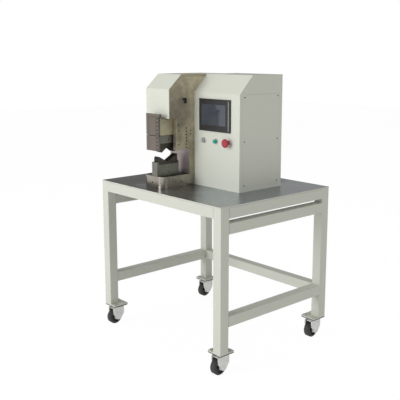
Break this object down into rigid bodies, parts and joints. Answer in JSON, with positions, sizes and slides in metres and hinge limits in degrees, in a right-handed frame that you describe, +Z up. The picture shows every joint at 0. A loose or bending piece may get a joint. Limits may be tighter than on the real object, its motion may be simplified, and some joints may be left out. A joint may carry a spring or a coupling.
{
  "type": "terminal crimping machine",
  "caption": "Servo crimping press with interleaved V dies for cable lugs, its cabinet with touch screen and controls, on a castored tube bench.",
  "frame": {"origin": "on the floor below the middle of the whole part", "axes": "+Z up, -Y towards the operator, +X to the operator's right"},
  "size_m": [0.905, 0.7415, 1.326],
  "materials": {
    "frame_paint": "satin powder coat",
    "sheet_paint": "fine textured powder coat",
    "zinc_fork": "zinc plated",
    "wheel_rubber": "matt",
    "zinc_bolt": "zinc plated",
    "dark_steel": "black oxide",
    "bench_steel": "polished, oiled",
    "press_steel": "ground, oiled",
    "guide_steel": "ground",
    "plate_steel": "ground",
    "bronze": "machined bronze",
    "ground_steel": "ground bright",
    "holder_steel": "blued",
    "die_steel": "hardened, black",
    "black_screw": "black oxide",
    "belt_rubber": "matt",
    "motor_black": "satin",
    "drive_grey": "satin",
    "black_plastic": "matt",
    "bezel_plastic": "satin",
    "screen_glass": "gloss",
    "chrome_ring": "polished",
    "selector_grey": "satin",
    "button_green": "gloss",
    "stem_red": "satin",
    "head_red": "gloss"
  },
  "bodies": {
    "machine": {"table_top": "bench_steel", "leg_front_left": "frame_paint", "leg_front_right": "frame_paint", "leg_back_left": "frame_paint", "leg_back_right": "frame_paint", "front_rail": "frame_paint", "back_rail": "frame_paint", "side_rails": "frame_paint", "lower_side_rails": "frame_paint", "side_stretchers": "frame_paint", "back_stretcher": "frame_paint", "foot_plates": "frame_paint", "castor_plates": "dark_steel", "castor_bolts": "zinc_bolt", "press_base": "press_steel", "press_column": "press_steel", "left_cheek": "press_steel", "right_cheek": "press_steel", "head_top_plate": "press_steel", "ram_guide": "guide_steel", "guide_gibs": "bronze", "guide_face_plate": "plate_steel", "lower_die_holder": "holder_steel", "lower_die": "die_steel", "bearing_block": "press_steel", "drive_belt": "belt_rubber", "servo_motor": "motor_black", "motor_plate": "press_steel", "head_cover": "sheet_paint", "rear_cover": "sheet_paint", "frame_screws": "black_screw", "cabinet_shell": "sheet_paint", "side_panel": "sheet_paint", "back_panel": "sheet_paint", "panel_screws": "zinc_bolt", "power_inlet": "black_plastic", "servo_drive": "drive_grey", "touch_screen_bezel": "bezel_plastic", "touch_screen_glass": "screen_glass", "switch_collars": "chrome_ring"},
    "ram": {"ram": "ground_steel", "ram_front_plate": "plate_steel", "upper_die_holder": "holder_steel", "upper_die": "die_steel", "screw_nut": "ground_steel"},
    "screw": {"drive_screw": "ground_steel", "screw_pulley": "ground_steel"},
    "motor_rotor": {"motor_pulley": "ground_steel"},
    "start": {"start_button": "button_green"},
    "selector": {"selector_knob": "selector_grey"},
    "estop_plunger": {"estop_stem": "stem_red"},
    "estop_mushroom": {"estop_head": "head_red"},
    "fork_front_left": {"castor_fork_front_left": "zinc_fork"},
    "wheel_front_left": {"castor_wheel_front_left": "wheel_rubber"},
    "fork_front_right": {"castor_fork_front_right": "zinc_fork"},
    "wheel_front_right": {"castor_wheel_front_right": "wheel_rubber"},
    "fork_back_left": {"castor_fork_back_left": "zinc_fork"},
    "wheel_back_left": {"castor_wheel_back_left": "wheel_rubber"},
    "fork_back_right": {"castor_fork_back_right": "zinc_fork"},
    "wheel_back_right": {"castor_wheel_back_right": "wheel_rubber"}
  },
  "joints": [
    {"name": "ram_slide", "type": "slide", "parent": "machine", "child": "ram", "axis": [0, 0, -1], "range_m": [0, 0.045]},
    {"name": "screw_turn", "type": "hinge", "parent": "machine", "child": "screw", "pos_m": [-0.118, -0.18825, 1.229], "axis": [0, 0, 1], "range_deg": [0, 812]},
    {"name": "motor_turn", "type": "hinge", "parent": "machine", "child": "motor_rotor", "pos_m": [-0.118, 0.05775, 1.229], "axis": [0, 0, 1], "range_deg": [0, 812]},
    {"name": "start_press", "type": "slide", "parent": "machine", "child": "start", "axis": [0, 1, 0], "range_m": [0, 0.003], "stiffness_N_per_m": 400},
    {"name": "selector_turn", "type": "hinge", "parent": "machine", "child": "selector", "pos_m": [0.031, -0.07925, 1.009], "axis": [0, 1, 0], "range_deg": [-45, 45]},
    {"name": "estop_press", "type": "slide", "parent": "machine", "child": "estop_plunger", "axis": [0, 1, 0], "range_m": [0, 0.005]},
    {"name": "estop_release_turn", "type": "hinge", "parent": "estop_plunger", "child": "estop_mushroom", "pos_m": [0.203, -0.09925, 1.009], "axis": [0, 1, 0], "range_deg": [0, 45]},
    {"name": "castor_swivel_front_left", "type": "hinge", "parent": "machine", "child": "fork_front_left", "pos_m": [-0.41, -0.31675, 0.09], "axis": [0, 0, 1], "continuous": true},
    {"name": "castor_roll_front_left", "type": "hinge", "parent": "fork_front_left", "child": "wheel_front_left", "pos_m": [-0.41, -0.33275, 0.038], "axis": [1, 0, 0], "continuous": true},
    {"name": "castor_swivel_front_right", "type": "hinge", "parent": "machine", "child": "fork_front_right", "pos_m": [0.41, -0.31675, 0.09], "axis": [0, 0, 1], "continuous": true},
    {"name": "castor_roll_front_right", "type": "hinge", "parent": "fork_front_right", "child": "wheel_front_right", "pos_m": [0.41, -0.33275, 0.038], "axis": [1, 0, 0], "continuous": true},
    {"name": "castor_swivel_back_left", "type": "hinge", "parent": "machine", "child": "fork_back_left", "pos_m": [-0.41, 0.32825, 0.09], "axis": [0, 0, 1], "continuous": true},
    {"name": "castor_roll_back_left", "type": "hinge", "parent": "fork_back_left", "child": "wheel_back_left", "pos_m": [-0.41, 0.31225, 0.038], "axis": [1, 0, 0], "continuous": true},
    {"name": "castor_swivel_back_right", "type": "hinge", "parent": "machine", "child": "fork_back_right", "pos_m": [0.41, 0.32825, 0.09], "axis": [0, 0, 1], "continuous": true},
    {"name": "castor_roll_back_right", "type": "hinge", "parent": "fork_back_right", "child": "wheel_back_right", "pos_m": [0.41, 0.31225, 0.038], "axis": [1, 0, 0], "continuous": true}
  ],
  "couplings": [
    {"joint": "screw_turn", "follows": "ram_slide", "rad_per_m": 314.16},
    {"joint": "motor_turn", "follows": "ram_slide", "rad_per_m": 314.16}
  ]
}
